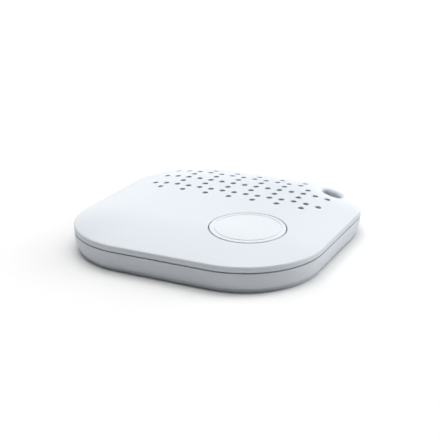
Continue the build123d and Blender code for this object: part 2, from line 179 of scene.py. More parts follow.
def rolledMetal(name, colour, roughness=0.3, along=(1.0, 0.06, 0.06), grain=5200.0, depth=0.0012 * mm):
    # fine streaks that run the way the sheet was rolled
    material, tree, shader = newMaterial(name)
    place = objectCoordinates(tree)
    drawn = put(tree, "ShaderNodeMapping", {"Vector": place, "Scale": along}).outputs[0]
    streaks = noise(tree, drawn, grain, detail=4.0)
    tarnish = noise(tree, place, scale=260.0, detail=3.0)
    tint = mixColours(tree, tarnish, shade(colour, 0.86), colour)
    polish = remap(tree, streaks, roughness - 0.12, roughness + 0.12)
    dress(tree, shader, tint, polish, bump(tree, streaks, 0.6, depth))
    shader.inputs["Metallic"].default_value = 1.0
    return material


def spunMetal(name, colour, middle, roughness=0.24):
    # turning marks run round the middle of the coin cell
    material, tree, shader = newMaterial(name)
    place = objectCoordinates(tree)
    flat = put(tree, "ShaderNodeSeparateXYZ", {0: place}).outputs[:2]
    away = [calc(tree, "SUBTRACT", value, centre) for value, centre in zip(flat, middle)]
    squares = [calc(tree, "POWER", calc(tree, "ABSOLUTE", value), 2.0) for value in away]
    distance = calc(tree, "SQRT", calc(tree, "ADD", *squares))
    inputs = {"W": distance, "Scale": 9000.0, "Detail": 3.0}
    marks = put(tree, "ShaderNodeTexNoise", inputs, noise_dimensions="1D").outputs["Fac"]
    smear = noise(tree, place, scale=180.0, detail=3.0)
    tint = mixColours(tree, smear, shade(colour, 0.88), colour)
    polish = remap(tree, marks, roughness - 0.1, roughness + 0.14)
    dress(tree, shader, tint, polish, bump(tree, marks, 0.5, 0.0015 * mm))
    shader.inputs["Metallic"].default_value = 1.0
    return material


def pressedPowder(name, colour, roughness=0.9, grain=4200.0, depth=0.012 * mm, sheen=0.0):
    material, tree, shader = newMaterial(name)
    place = objectCoordinates(tree)
    fine = noise(tree, place, grain, detail=5.0)
    coarse = noise(tree, place, grain / 9)
    tint = mixColours(tree, coarse, shade(colour, 0.72), shade(colour, 1.18))
    dull = remap(tree, fine, roughness - 0.1, min(roughness + 0.1, 1.0))
    dress(tree, shader, tint, dull, bump(tree, fine, 0.9, depth))
    shader.inputs["Sheen Weight"].default_value = sheen
    return material


def cellFoam(name, colour):
    material, tree, shader = newMaterial(name)
    inputs = {"Vector": objectCoordinates(tree), "Scale": 5600.0}
    cellDepthAndShade = put(tree, "ShaderNodeTexVoronoi", inputs, feature="F1").outputs["Distance"]
    # painted shade: each cell is darker at its sunk middle and lighter at its raised rim
    tint = mixColours(tree, cellDepthAndShade, shade(colour, 0.6), shade(colour, 1.6))
    dress(tree, shader, tint, remap(tree, cellDepthAndShade, 0.85, 1.0), bump(tree, cellDepthAndShade, 1.0, 0.05 * mm))
    return material


def solderMask(name, colour, copper):
    # lighter lanes where the mask runs over a track, darker laminate between them
    material, tree, shader = newMaterial(name)
    place = objectCoordinates(tree)
    inputs = {
        "Vector": place,
        "Scale": 1.0,
        "Mortar Size": 0.09 * mm,
        "Mortar Smooth": 0.4,
        "Brick Width": 2.3 * mm,
        "Row Height": 0.55 * mm,
    }
    lanes = put(tree, "ShaderNodeTexBrick", inputs, offset=0.37, squash=1.6).outputs["Fac"]
    weave = noise(tree, place, scale=900.0, detail=3.0)
    ground = mixColours(tree, weave, shade(colour, 0.85), colour)
    mixed = put(tree, "ShaderNodeMix", {0: lanes, 6: (*copper, 1), 7: ground}, data_type="RGBA").outputs[2]
    dress(tree, shader, mixed, remap(tree, weave, 0.22, 0.36), bump(tree, lanes, 0.5, -0.02 * mm))
    shader.inputs["Coat Weight"].default_value = 0.4
    return material


def tinnedPart(name, colour, axis, reach, middle=(0.0, 0.0, 0.0), pitch=1.0, bodyRoughness=0.45):
    # tinned metal beyond a reach from the middle of each part along one axis, the part's own body within it
    material, tree, shader = newMaterial(name)
    place = objectCoordinates(tree)
    value = put(tree, "ShaderNodeSeparateXYZ", {0: place}).outputs[axis]
    away = calc(tree, "PINGPONG", calc(tree, "SUBTRACT", value, middle[axis]), pitch / 2)
    metal = calc(tree, "GREATER_THAN", away, reach)
    grain = noise(tree, place, scale=3800.0, detail=3.0)
    body = mixColours(tree, grain, shade(colour, 0.82), shade(colour, 1.12))
    plated = mixColours(tree, grain, shade(tin, 0.85), tin)
    mixed = put(tree, "ShaderNodeMix", {0: metal, 6: body, 7: plated}, data_type="RGBA").outputs[2]
    rough = calc(tree, "MULTIPLY_ADD", grain, 0.1, remap(tree, metal, bodyRoughness, tinRoughness))
    dress(tree, shader, mixed, rough, bump(tree, grain, 0.5, 0.004 * mm))
    tree.links.new(metal, shader.inputs["Metallic"])
    return material


def threadCloth(name, colour):
    material, tree, shader = newMaterial(name)
    place = objectCoordinates(tree)
    twist = put(tree, "ShaderNodeMapping", {"Vector": place, "Scale": (1.0, 1.0, 0.3)}).outputs[0]
    fibres = noise(tree, twist, scale=16000.0, detail=4.0)
    tint = mixColours(tree, fibres, shade(colour, 0.6), shade(colour, 1.3))
    dress(tree, shader, tint, remap(tree, fibres, 0.6, 0.85), bump(tree, fibres, 0.8, 0.008 * mm))
    shader.inputs["Sheen Weight"].default_value = 0.15
    return material


# Places that the finishes and the solder joints share: the middle of each part on the board, along X and Y
cellMiddle = (-8.0 * mm, -8.0 * mm)
boardPlaces = {
    "antenna": (-11.6 * mm, 16.4 * mm),
    "coil": (-13.6 * mm, 8.4 * mm),
    "transistor": (-14.6 * mm, 4.2 * mm),
    "bulkCapacitor": (4.46 * mm, -0.83 * mm),
    "mainCrystal": (15.2 * mm, 4.37 * mm),
    "clockCrystal": (15.4 * mm, -1.83 * mm),
    "leftResistor": (-16.525 * mm, 8.4 * mm),
    "rightResistor": (7.15 * mm, 1.07 * mm),
    "capacitors": (8.725 * mm, 1.07 * mm),  # between the first capacitor of each row
}
smallPitch = 1.25 * mm
resistorPitch = 2 * (boardPlaces["rightResistor"][0] - boardPlaces["leftResistor"][0])

# Finishes, one for each of the record's material slots; the shell's whites come first
shellLook = {
    "cover": (0.618, 0.653, 0.697),
    "case": (0.618, 0.653, 0.697),
    # painted light: the button's white is the cover's white painted lighter, standing in for light falling on
    # its face
    "button": (0.662, 0.692, 0.73),
    "roughness": 0.43,
}
tin = (0.78, 0.78, 0.76)
tinRoughness = 0.28
alongX, alongY, alongZ = 0, 1, 2
finishes = {
    "cover_plastic": mouldedPlastic("coverPlastic", shellLook["cover"], shellLook["roughness"]),
    "case_plastic": mouldedPlastic("casePlastic", shellLook["case"], shellLook["roughness"]),
    "button_plastic": mouldedPlastic("buttonPlasticPaintedLighter", shellLook["button"], shellLook["roughness"]),
    "mesh_cloth": threadCloth("meshCloth", (0.035, 0.035, 0.038)),
    "foam": cellFoam("soundFoam", (0.02, 0.02, 0.022)),
    "board_laminate": solderMask("solderMask", (0.012, 0.09, 0.04), (0.03, 0.17, 0.07)),
    "cell_steel": spunMetal("cellSteel", (0.66, 0.67, 0.69), cellMiddle),
    "cell_seal": mouldedPlastic("cellSeal", (0.08, 0.08, 0.09), roughness=0.55),
    "cell_powder": pressedPowder("cellPowder", (0.02, 0.02, 0.021)),
    "cell_felt": pressedPowder(
        "cellFelt", (0.68, 0.68, 0.65), 0.95, grain=9000.0, depth=0.02 * mm, sheen=0.3
    ),
    "lithium": rolledMetal("lithiumFoil", (0.5, 0.51, 0.52), roughness=0.5),
    "spring_steel": rolledMetal("springSteel", (0.66, 0.63, 0.57), roughness=0.28),
    "brass": rolledMetal("rolledBrass", (0.66, 0.42, 0.12)),
    "piezo_ceramic": pressedPowder("silveredCeramic", (0.62, 0.62, 0.6), 0.5, grain=3000.0, depth=0.003 * mm),
    "switch_plastic": mouldedPlastic("switchPlastic", (0.012, 0.012, 0.013)),
    "chip_resin": mouldedPlastic("chipResin", (0.014, 0.014, 0.016), 0.62, grain=3800.0, depth=0.008 * mm),
    "crystal_metal": tinnedPart("mainCrystal", (0.55, 0.5, 0.38), alongZ, 2.95 * mm),
    "antenna_ceramic": tinnedPart(
        "antennaCeramic", (0.72, 0.72, 0.69), alongX, 1.35 * mm, boardPlaces["antenna"]
    ),
    "ferrite": pressedPowder("coilFerrite", (0.03, 0.03, 0.033), 0.55, grain=2600.0, depth=0.01 * mm),
    "capacitor_ceramic": tinnedPart(
        "smallCapacitor", (0.34, 0.2, 0.09), alongX, 0.25 * mm, boardPlaces["capacitors"], smallPitch
    ),
    "resistor_ceramic": tinnedPart(
        "smallResistor", (0.02, 0.02, 0.024), alongX, 0.25 * mm, boardPlaces["leftResistor"], resistorPitch
    ),
}
# nodes whose metal lies elsewhere than on their slot's first part
nodeFinishes = {
    "clock_crystal": tinnedPart("clockCrystal", (0.04, 0.04, 0.045), alongZ, 3.25 * mm),
    "bulk_capacitor": tinnedPart(
        "bulkCapacitor", (0.34, 0.2, 0.09), alongX, 1.35 * mm, boardPlaces["bulkCapacitor"]
    ),
    "drive_transistor": tinnedPart(
        "driveTransistor", (0.014, 0.014, 0.016), alongY, 0.65 * mm, boardPlaces["transistor"]
    ),
}
for row in frame["record"]["subparts"]:
    finish = nodeFinishes.get(row["node"], finishes[row["material_slot"]])
    for slot in nodes[row["node"]].material_slots:
        slot.material = finish
print("finishes made:", len(finishes) + len(nodeFinishes))


# Geometry helpers
def newTree(name, sizes):
    tree = bpy.data.node_groups.new(name, "GeometryNodeTree")
    tree.is_modifier = True
    tree.interface.new_socket("Geometry", in_out="INPUT", socket_type="NodeSocketGeometry")
    tree.interface.new_socket("Geometry", in_out="OUTPUT", socket_type="NodeSocketGeometry")
    for key, value in sizes.items():
        kind = "NodeSocketInt" if isinstance(value, int) else "NodeSocketFloat"
        tree.interface.new_socket(key, in_out="INPUT", socket_type=kind)
    return tree, put(tree, "NodeGroupInput").outputs


def closeTree(tree, geometry, material):
    joined = put(tree, "GeometryNodeRealizeInstances", {"Geometry": geometry}).outputs[0]
    finished = put(tree, "GeometryNodeSetMaterial", {"Geometry": joined}).outputs[0]
    finished.node.inputs["Material"].default_value = material
    put(tree, "NodeGroupOutput", {"Geometry": finished})


def grow(obj, tree, sizes):
    modifier = obj.modifiers.new(tree.name, "NODES")
    modifier.node_group = tree
    for item in tree.interface.items_tree:
        if item.in_out == "INPUT" and item.name in sizes:
            modifier[item.identifier] = sizes[item.name]
    evaluated = obj.evaluated_get(bpy.context.evaluated_depsgraph_get())
    mesh = bpy.data.meshes.new_from_object(evaluated)
    mesh.name = obj.name
    material = mesh.materials[-1]
    mesh.materials.clear()
    mesh.materials.append(material)
    mesh.polygons.foreach_set("material_index", [0] * len(mesh.polygons))
    obj.modifiers.clear()
    obj.data = mesh


def newObject(name, mesh=None):
    obj = bpy.data.objects.new(name, mesh or bpy.data.meshes.new(name))
    bpy.context.scene.collection.objects.link(obj)
    return obj


def report(obj):
    shape = bmesh.new()
    shape.from_mesh(obj.data)
    loose = sum(1 for edge in shape.edges if len(edge.link_faces) != 2)
    volume = shape.calc_volume(signed=True) / mm**3
    print(obj.name, "faces", len(shape.faces), "open edges", loose, "volume", round(volume, 2))
    shape.free()


# The crown that the cover and the button share: flat in the middle, then an arc down to the edge
crown = {
    "top": 6.2 * mm,
    "cornerCentre": 8.0 * mm,
    "cornerRadius": 13.0 * mm,
    "start": 2.0 * mm,
    "drop": 1.78 * mm,
}
crownRun = crown["cornerRadius"] - crown["start"]
crown["arc"] = (crownRun**2 + crown["drop"] ** 2) / (2 * crown["drop"])


def crownAt(x, y, depth=0.0):
    beyond = [max(abs(value) - crown["cornerCentre"], 0.0) for value in (x, y)]
    run = max(sqrt(beyond[0] ** 2 + beyond[1] ** 2) - crown["start"], 0.0)
    return crown["top"] - crown["arc"] + sqrt((crown["arc"] - depth) ** 2 - run**2)


def crownField(tree, sizes, x, y, arc="arc"):
    beyond = []
    for value in (x, y):
        outside = calc(tree, "SUBTRACT", calc(tree, "ABSOLUTE", value), sizes["cornerCentre"])
        beyond.append(calc(tree, "POWER", calc(tree, "MAXIMUM", outside, 0.0), 2.0))
    distance = calc(tree, "SQRT", calc(tree, "ADD", *beyond))
    run = calc(tree, "MAXIMUM", calc(tree, "SUBTRACT", distance, sizes["start"]), 0.0)
    squares = [calc(tree, "POWER", value, 2.0) for value in (sizes[arc], run)]
    rise = calc(tree, "SQRT", calc(tree, "SUBTRACT", *squares))
    return calc(tree, "ADD", calc(tree, "SUBTRACT", sizes["top"], sizes["arc"]), rise)


def positions(tree):
    place = put(tree, "GeometryNodeInputPosition").outputs[0]
    return put(tree, "ShaderNodeSeparateXYZ", {0: place}).outputs


def move(tree, geometry, x, y, z):
    place = put(tree, "ShaderNodeCombineXYZ", {0: x, 1: y, 2: z}).outputs[0]
    return put(tree, "GeometryNodeSetPosition", {"Geometry": geometry, "Position": place}).outputs[0]


flareAngle = radians(75)  # how far round its quarter turn a cutter follows the rounded rim
clearAbove = 2 * mm  # how far a cutter stands over the crown
sharpAngle = radians(32)  # edges that turn more than this stay crisp
slotTurn = radians(-45)
tubeCorners = 72


def flaredCutter(tree, along, across, rimRound, low, corners, rings):
    # ring 0 is the closed bottom, rings 1 to the last but one follow the rounded rim, the top stands clear
    inputs = {"Vertices": corners, "Side Segments": rings, "Radius": 1.0, "Depth": float(rings)}
    column = put(tree, "GeometryNodeMeshCylinder", inputs, fill_type="NGON").outputs["Mesh"]
    x, y, z = positions(tree)
    ring = calc(tree, "ADD", z, rings / 2)
    inputs = {"Value": ring, "From Min": 1.0, "From Max": rings - 2.0}
    share = put(tree, "ShaderNodeMapRange", inputs).outputs[0]
    angle = calc(tree, "MULTIPLY", share, flareAngle)
    beyond = calc(tree, "MULTIPLY", calc(tree, "GREATER_THAN", ring, rings - 1.5), rimRound)
    sine = calc(tree, "SINE", angle)
    cosine = calc(tree, "COSINE", angle)
    outward = calc(tree, "MULTIPLY", calc(tree, "SUBTRACT", 1.0, cosine), rimRound)
    outward = calc(tree, "ADD", outward, calc(tree, "MULTIPLY", beyond, sine))
    height = calc(tree, "MULTIPLY", calc(tree, "SUBTRACT", sine, 1.0), rimRound)
    height = calc(tree, "ADD", height, calc(tree, "MULTIPLY", beyond, cosine))
    bottom = calc(tree, "LESS_THAN", ring, 0.5)
    height = calc(tree, "ADD", height, calc(tree, "MULTIPLY", bottom, low))
    top = calc(tree, "GREATER_THAN", ring, rings - 0.5)
    height = calc(tree, "ADD", height, calc(tree, "MULTIPLY", top, clearAbove))
    normalX = calc(tree, "MULTIPLY", x, across)
    normalY = calc(tree, "MULTIPLY", y, along)
    squares = [calc(tree, "POWER", value, 2.0) for value in (normalX, normalY)]
    stretch = calc(tree, "DIVIDE", outward, calc(tree, "SQRT", calc(tree, "ADD", *squares)))
    newX = calc(tree, "ADD", calc(tree, "MULTIPLY", x, along), calc(tree, "MULTIPLY", normalX, stretch))
    newY = calc(tree, "ADD", calc(tree, "MULTIPLY", y, across), calc(tree, "MULTIPLY", normalY, stretch))
    return move(tree, column, newX, newY, height)


def shift(tree, geometry, x, y, turn=0.0):
    place = put(tree, "ShaderNodeCombineXYZ", {0: x, 1: y}).outputs[0]
    inputs = {"Geometry": geometry, "Translation": place, "Rotation": (0.0, 0.0, turn)}
    return put(tree, "GeometryNodeTransform", inputs).outputs[0]


def boolean(tree, operation, first, others):
    node = put(tree, "GeometryNodeMeshBoolean", operation=operation, solver="MANIFOLD")
    if operation == "DIFFERENCE":
        tree.links.new(first, node.inputs["Mesh 1"])
    else:
        others = [first, *others]
    for other in others:
        tree.links.new(other, node.inputs["Mesh 2"])
    return node.outputs["Mesh"]


def softShade(tree, geometry):
    smooth = put(tree, "GeometryNodeSetShadeSmooth", {"Geometry": geometry}).outputs[0]
    angle = put(tree, "GeometryNodeInputMeshEdgeAngle").outputs["Unsigned Angle"]
    sharp = calc(tree, "GREATER_THAN", angle, sharpAngle)
    inputs = {"Geometry": smooth, "Selection": sharp, "Shade Smooth": False}
    return put(tree, "GeometryNodeSetShadeSmooth", inputs, domain="EDGE").outputs[0]


def ringPoints(half, radius, sideSteps, cornerSteps):
    if half == 0:
        return [(0.0, 0.0)]
    corners = [(1, 1), (-1, 1), (-1, -1), (1, -1)]
    centre = half - radius
    points = []
    for corner, (signX, signY) in enumerate(corners):
        for step in range(cornerSteps):
            angle = pi / 2 * (corner + step / cornerSteps)
            points.append((centre * signX + radius * cos(angle), centre * signY + radius * sin(angle)))
        angle = pi / 2 * (corner + 1)
        nextX, nextY = corners[(corner + 1) % 4]
        for step in range(sideSteps):
            share = step / sideSteps
            x = centre * (signX + (nextX - signX) * share) + radius * cos(angle)
            y = centre * (signY + (nextY - signY) * share) + radius * sin(angle)
            points.append((x, y))
    return points


def loft(name, rings, middle=(0.0, 0.0), sideSteps=20, cornerSteps=36):
    # each ring is a half width, a corner radius and a height, where 0 or less is a depth under the crown
    shape = bmesh.new()
    rows = []
    for half, radius, height in rings:
        row = []
        for x, y in ringPoints(half, radius, sideSteps, cornerSteps):
            x += middle[0]
            y += middle[1]
            z = crownAt(x, y, -height) if height <= 0 else height
            row.append(shape.verts.new((x, y, z)))
        rows.append(row)
    for upper, lower in zip(rows, rows[1:]):
        count = max(len(upper), len(lower))
        for index in range(count):
            following = (index + 1) % count
            if len(upper) == 1:
                shape.faces.new((upper[0], lower[index], lower[following]))
            elif len(lower) == 1:
                shape.faces.new((upper[index], lower[0], upper[following]))
            else:
                shape.faces.new((upper[index], lower[index], lower[following], upper[following]))
    bmesh.ops.recalc_face_normals(shape, faces=shape.faces)
    mesh = bpy.data.meshes.new(name)
    shape.to_mesh(mesh)
    shape.free()
    return mesh


# Cover: a crowned shell, its wall down to the parting groove, sound holes, button opening and key ring slot
cover = {
    "roof": 0.85 * mm,
    "wall": 1.1 * mm,
    "creaseRound": 0.3 * mm,
    "creaseSteps": 6,
    "parting": 3.42 * mm,
    "grooveHalf": 0.1 * mm,
    "grooveDepth": 0.45 * mm,
    "lipRound": 0.05 * mm,
    "beadTip": 0.08 * mm,
    "beadMiddle": 0.16 * mm,
    "beadHalf": 0.065 * mm,
    "rings": 38,
}
coverCuts = {
    "holePitch": 2.177 * mm,
    "holeDiameter": 1.03 * mm,
    "holeRound": 0.04 * mm,
    "firstRow": 3.048 * mm,
    "buttonX": 8.86 * mm,
    "buttonY": -8.63 * mm,
    "buttonOpening": 12.28 * mm,
    "buttonRound": 0.1 * mm,
    "slotPlace": 14.3145 * mm,
    "slotLength": 5.1 * mm,
    "slotWidth": 2.64 * mm,
    "slotRound": 0.8 * mm,
    "slotWall": 1.8 * mm,
    "ribPlace": -8.0 * mm,
    "ribRadius": 5.1 * mm,
    "ribWidth": 0.8 * mm,
    "ribLow": 4.25 * mm,
    "tubeLow": 3.43 * mm,
    "holeCutLow": -1.6 * mm,  # the cutters reach this far under the crown
    "wideCutLow": -3.5 * mm,
    "wallTopDepth": 0.4 * mm,
    "top": crown["top"],
    "cornerCentre": crown["cornerCentre"],
    "start": crown["start"],
    "arc": crown["arc"],
}
# sound holes from the front row to the back: first column, count and step
holeRows = [(1, 7, 2), (0, 15, 1), (2, 6, 2), (0, 15, 1), (2, 6, 2), (0, 12, 1), (3, 5, 2)]
middleColumn = 7
# corners round each cutter and rings up it
cutterDetail = {"hole": (28, 7), "button": (160, 8), "slot": (96, 13)}
ribCorners = 96


def coverRings(sizes):
    centre = crown["cornerCentre"]
    reach = crown["cornerRadius"]
    floor = sizes["parting"]
    fillet = sizes["creaseRound"]
    offset = reach - fillet - crown["start"]
    middleHeight = crown["top"] - crown["arc"] + sqrt((crown["arc"] - fillet) ** 2 - offset**2)
    tilt = atan2(middleHeight - crown["top"] + crown["arc"], offset)
    rings = []
    contact = reach - fillet + fillet * cos(tilt)
    for index in range(sizes["rings"]):
        share = index / sizes["rings"]
        rings.append(((centre + contact) * share, contact * share, 0.0))
    steps = sizes["creaseSteps"]
    for index in range(steps + 1):
        angle = tilt * (1 - index / steps)
        out = reach - fillet + fillet * cos(angle)
        rings.append((centre + out, out, middleHeight + fillet * sin(angle)))
    lip = sizes["lipRound"]
    lipCut = 0.3 * lip  # halfway round the lip
    grooveTop = floor + sizes["grooveHalf"]
    inner = reach - sizes["wall"]
    bead = floor + sizes["beadMiddle"]
    section = [
        (reach, grooveTop + lip),
        (reach - lipCut, grooveTop + lipCut),
        (reach - lip, grooveTop),
        (reach - sizes["grooveDepth"], grooveTop),
        (reach - sizes["grooveDepth"], floor),
        (inner, floor),
        (inner, bead - sizes["beadHalf"]),
        (inner + sizes["beadTip"], bead),
        (inner, bead + sizes["beadHalf"]),
    ]
    for out, height in section:
        rings.append((centre + out, out, height))
    for index in range(sizes["rings"] + 1):
        share = 1 - index / sizes["rings"]
        rings.append(((centre + inner) * share, inner * share, -sizes["roof"]))
    return rings


def coverTree(sizes, material):
    tree, given = newTree("coverCuts", sizes)
    radius = calc(tree, "MULTIPLY", given["holeDiameter"], 0.5)
    hole = flaredCutter(tree, radius, radius, given["holeRound"], given["holeCutLow"], *cutterDetail["hole"])
    lines = []
    for row, (first, count, step) in enumerate(holeRows):
        x = calc(tree, "MULTIPLY", given["holePitch"], float(first - middleColumn))
        y = calc(tree, "MULTIPLY_ADD", given["holePitch"], float(row), given["firstRow"])
        start = put(tree, "ShaderNodeCombineXYZ", {0: x, 1: y}).outputs[0]
        stride = calc(tree, "MULTIPLY", given["holePitch"], float(step))
        offset = put(tree, "ShaderNodeCombineXYZ", {0: stride}).outputs[0]
        inputs = {"Count": count, "Start Location": start, "Offset": offset}
        lines.append(put(tree, "GeometryNodeMeshLine", inputs, mode="OFFSET").outputs[0])
    join = put(tree, "GeometryNodeJoinGeometry")
    for line in reversed(lines):
        tree.links.new(line, join.inputs[0])
    inputs = {"Points": join.outputs[0], "Instance": hole}
    holes = put(tree, "GeometryNodeInstanceOnPoints", inputs).outputs[0]
    holes = put(tree, "GeometryNodeRealizeInstances", {"Geometry": holes}).outputs[0]
    opening = calc(tree, "MULTIPLY", given["buttonOpening"], 0.5)
    low = given["wideCutLow"]
    button = flaredCutter(tree, opening, opening, given["buttonRound"], low, *cutterDetail["button"])
    button = shift(tree, button, given["buttonX"], given["buttonY"])
    along = calc(tree, "MULTIPLY", given["slotLength"], 0.5)
    across = calc(tree, "MULTIPLY", given["slotWidth"], 0.5)
    slot = flaredCutter(tree, along, across, given["slotRound"], low, *cutterDetail["slot"])
    slot = shift(tree, slot, given["slotPlace"], given["slotPlace"], slotTurn)
    cutters = put(tree, "GeometryNodeJoinGeometry")
    for piece in (holes, button, slot):
        tree.links.new(piece, cutters.inputs[0])
    x, y, z = positions(tree)
    lifted = calc(tree, "ADD", z, crownField(tree, given, x, y))
    cut = move(tree, cutters.outputs[0], x, y, lifted)

    # walls that hang from the roof: a tube round the slot and the rib beside the cell
    walls = []
    tubeAlong = calc(tree, "ADD", along, given["slotWall"])
    tubeAcross = calc(tree, "ADD", across, given["slotWall"])
    inputs = {"Vertices": tubeCorners, "Side Segments": 1, "Radius": 1.0, "Depth": 1.0}
    tube = put(tree, "GeometryNodeMeshCylinder", inputs, fill_type="NGON").outputs["Mesh"]
    x, y, z = positions(tree)
    tube = move(tree, tube, calc(tree, "MULTIPLY", x, tubeAlong), calc(tree, "MULTIPLY", y, tubeAcross), z)
    tube = shift(tree, tube, given["slotPlace"], given["slotPlace"], slotTurn)
    walls.append((tube, given["tubeLow"]))
    inputs = {"Resolution": ribCorners, "Radius": given["ribRadius"]}
    circle = put(tree, "GeometryNodeCurvePrimitiveCircle", inputs, mode="RADIUS")
    inputs = {"Width": given["ribWidth"], "Height": 1.0}
    profile = put(tree, "GeometryNodeCurvePrimitiveQuadrilateral", inputs)
    inputs = {"Curve": circle.outputs[0], "Profile Curve": profile.outputs[0]}
    rib = put(tree, "GeometryNodeCurveToMesh", inputs).outputs[0]
    rib = shift(tree, rib, given["ribPlace"], given["ribPlace"])
    walls.append((rib, given["ribLow"]))
    solids = []
    for piece, low in walls:
        x, y, z = positions(tree)
        inside = calc(tree, "SUBTRACT", crownField(tree, given, x, y), given["wallTopDepth"])
        upper = calc(tree, "GREATER_THAN", z, 0.0)
        solids.append(move(tree, piece, x, y, remap(tree, upper, low, inside)))
    whole = boolean(tree, "UNION", given["Geometry"], solids)
    pierced = boolean(tree, "DIFFERENCE", whole, [cut])
    closeTree(tree, softShade(tree, pierced), material)
    return tree


coverShell = newObject("coverShell", loft("coverShell", coverRings(cover)))
grow(coverShell, coverTree(coverCuts, finishes["cover_plastic"]), coverCuts)
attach(coverShell, "housing")
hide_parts("top_cover")
report(coverShell)

# Button: its face carries on the crown, with a fine ring cut into it and a flange held under the cover
button = {
    "x": coverCuts["buttonX"],
    "y": coverCuts["buttonY"],
    "radius": 5.95 * mm,
    "edgeRound": 0.1 * mm,
    "ringRadius": 5.25 * mm,
    "ringWidth": 0.17 * mm,
    "ringDepth": 0.08 * mm,
    "ringBevel": 0.012 * mm,
    "flangeRadius": 6.74 * mm,
    "flangeTop": 0.91 * mm,
    "flangeLow": 4.2901 * mm,
    "pocketRadius": 5.1 * mm,
    "plate": 0.9 * mm,
    "postRadius": 1.3 * mm,
    "postLow": 4.35 * mm,
    "faceRings": 16,
    "rimRings": 4,
    "edgeRings": 5,
}


def buttonRings(sizes):
    radius = sizes["radius"]
    edge = sizes["edgeRound"]
    groove = sizes["ringDepth"]
    half = sizes["ringWidth"] / 2
    inner = sizes["ringRadius"] - half
    outer = sizes["ringRadius"] + half
    bevel = sizes["ringBevel"]
    rimRings = sizes["rimRings"]
    edgeRings = sizes["edgeRings"]
    section = [(inner * step / sizes["faceRings"], 0.0) for step in range(sizes["faceRings"])]
    section += [(inner - bevel, 0.0), (inner, -bevel), (inner + bevel, -groove)]
    section += [(outer - bevel, -groove), (outer, -bevel), (outer + bevel, 0.0)]
    section += [(outer + (radius - edge - outer) * step / rimRings, 0.0) for step in range(1, rimRings + 1)]
    for step in range(1, edgeRings + 1):
        angle = pi / 2 * step / edgeRings
        section.append((radius - edge + edge * sin(angle), -edge * (1 - cos(angle))))
    section += [(radius, -sizes["flangeTop"]), (sizes["flangeRadius"], -sizes["flangeTop"])]
    section += [(sizes["flangeRadius"], sizes["flangeLow"]), (sizes["pocketRadius"], sizes["flangeLow"])]
    section += [(sizes["pocketRadius"], -sizes["plate"]), (sizes["postRadius"], -sizes["plate"])]
    section += [(sizes["postRadius"], sizes["postLow"]), (0.0, sizes["postLow"])]
    return [(out, out, height) for out, height in section]


buttonMiddle = (button["x"], button["y"])
buttonMesh = loft("buttonFace", buttonRings(button), buttonMiddle, sideSteps=0)
buttonMesh.materials.append(finishes["button_plastic"])
for face in buttonMesh.polygons:
    face.use_smooth = True
buttonMesh.set_sharp_from_angle(angle=sharpAngle)
buttonFace = newObject("buttonFace", buttonMesh)
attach(buttonFace, "button")
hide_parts("button_cap")
report(buttonFace)

# Mesh cloth under the sound holes: flat threads in a plain weave that follow the roof's underside
clothDepth = 0.9 * mm  # under the crown
cloth = {
    "pitch": 0.4 * mm,
    "threadWidth": 0.27 * mm,
    "threadThickness": 0.03 * mm,
    "swing": 0.026 * mm,
    "columns": 82,
    "rows": 39,
    "left": -16.2 * mm,
    "front": 2.0 * mm,
    "slotPlace": coverCuts["slotPlace"],
    "slotAlong": 4.5 * mm,
    "slotAcross": 3.27 * mm,
    "slotCut": 20 * mm,
    "top": crown["top"],
    "cornerCentre": crown["cornerCentre"],
    "start": crown["start"],
    "arc": crown["arc"],
    "clothArc": crown["arc"] - clothDepth,
}


def thread(tree, given, count, phase):
    # two rows of corners where each crossing thread lies, high at one crossing and low at the next
    steps = calc(tree, "MULTIPLY", given[count], 2.0)
    inputs = {"Size": (1.0, 1.0, 1.0), "Vertices X": steps, "Vertices Y": 2, "Vertices Z": 2}
    box = put(tree, "GeometryNodeMeshCube", inputs).outputs["Mesh"]
    x, y, z = positions(tree)
    place = calc(tree, "MULTIPLY", calc(tree, "ADD", x, 0.5), calc(tree, "SUBTRACT", steps, 1.0))
    place = calc(tree, "ROUND", place)
    crossing = calc(tree, "FLOOR", calc(tree, "MULTIPLY", place, 0.5))
    side = calc(tree, "SUBTRACT", calc(tree, "MODULO", place, 2.0), 0.5)
    along = calc(tree, "MULTIPLY", crossing, given["pitch"])
    along = calc(tree, "ADD", along, calc(tree, "MULTIPLY", side, given["threadWidth"]))
    lift = calc(tree, "SUBTRACT", calc(tree, "MODULO", calc(tree, "ADD", crossing, float(phase)), 2.0), 0.5)
    height = calc(tree, "MULTIPLY", calc(tree, "MULTIPLY", lift, 2.0), given["swing"])
    height = calc(tree, "ADD", height, calc(tree, "MULTIPLY", z, given["threadThickness"]))
    return move(tree, box, along, calc(tree, "MULTIPLY", y, given["threadWidth"]), height)


